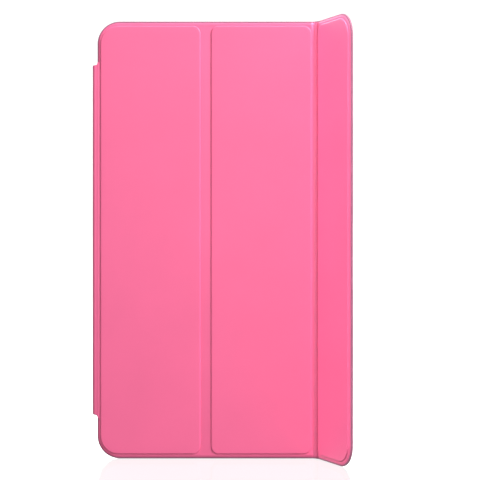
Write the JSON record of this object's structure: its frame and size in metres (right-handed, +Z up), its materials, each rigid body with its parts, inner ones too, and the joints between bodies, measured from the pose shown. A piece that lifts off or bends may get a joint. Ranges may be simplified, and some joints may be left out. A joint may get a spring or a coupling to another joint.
{
  "type": "folding tablet cover",
  "caption": "Folding magnetic front cover for a small tablet: stiff padded panels in a smooth skin, grooves to fold along, and a spine bar that clings to the tablet's long side.",
  "frame": {"origin": "centre of the spine bar's flat inner face, which clings to the tablet's long side", "axes": "+X from the spine to the free edge, out of the spine's inner face; +Y from the cover towards the tablet; +Z up along the spine"},
  "size_m": [0.1168, 0.0385, 0.2],
  "materials": {
    "skin": "satin",
    "lining": "matte",
    "board": "matte",
    "carrier": "matte",
    "magnet": "satin",
    "steel": "satin"
  },
  "bodies": {
    "spine": {"spine_skin": "skin", "spine_keeper": "steel", "spine_carrier": "carrier", "spine_magnets_upper": "magnet", "spine_magnets_lower": "magnet", "spine_face": "lining"},
    "spine_fold": {"spine_fold_skin": "skin", "spine_fold_lining": "lining"},
    "panel_1": {"panel_1_skin": "skin", "panel_1_board": "board", "panel_1_lining": "lining", "stand_steel_strip": "steel"},
    "fold_1": {"fold_1_skin": "skin", "fold_1_lining": "lining"},
    "panel_2": {"panel_2_skin": "skin", "panel_2_board": "board", "panel_2_lining": "lining"},
    "fold_2": {"fold_2_skin": "skin", "fold_2_lining": "lining"},
    "panel_3": {"panel_3_skin": "skin", "panel_3_board": "board", "panel_3_lining": "lining", "stand_magnets": "magnet", "closure_magnets": "magnet", "wake_magnet": "magnet"}
  },
  "joints": [
    {"name": "spine_crease_near", "type": "hinge", "parent": "spine", "child": "spine_fold", "pos_m": [-0.0015, -0.0047, 0], "axis": [0, 0, -1], "range_deg": [0, 170]},
    {"name": "spine_crease_far", "type": "hinge", "parent": "spine_fold", "child": "panel_1", "pos_m": [0.0007, -0.0047, 0], "axis": [0, 0, -1], "range_deg": [0, 85]},
    {"name": "fold_1_near", "type": "hinge", "parent": "panel_1", "child": "fold_1", "pos_m": [0.0483, -0.0047, 0], "axis": [0, 0, -1], "range_deg": [-70, 82.5]},
    {"name": "fold_1_far", "type": "hinge", "parent": "fold_1", "child": "panel_2", "pos_m": [0.0511, -0.0047, 0], "axis": [0, 0, -1], "range_deg": [-70, 82.5]},
    {"name": "fold_2_near", "type": "hinge", "parent": "panel_2", "child": "fold_2", "pos_m": [0.099, -0.0047, 0], "axis": [0, 0, -1], "range_deg": [-92, 57]},
    {"name": "fold_2_far", "type": "hinge", "parent": "fold_2", "child": "panel_3", "pos_m": [0.10135, -0.00622, 0], "axis": [0, 0, -1], "range_deg": [-92, 57]}
  ]
}
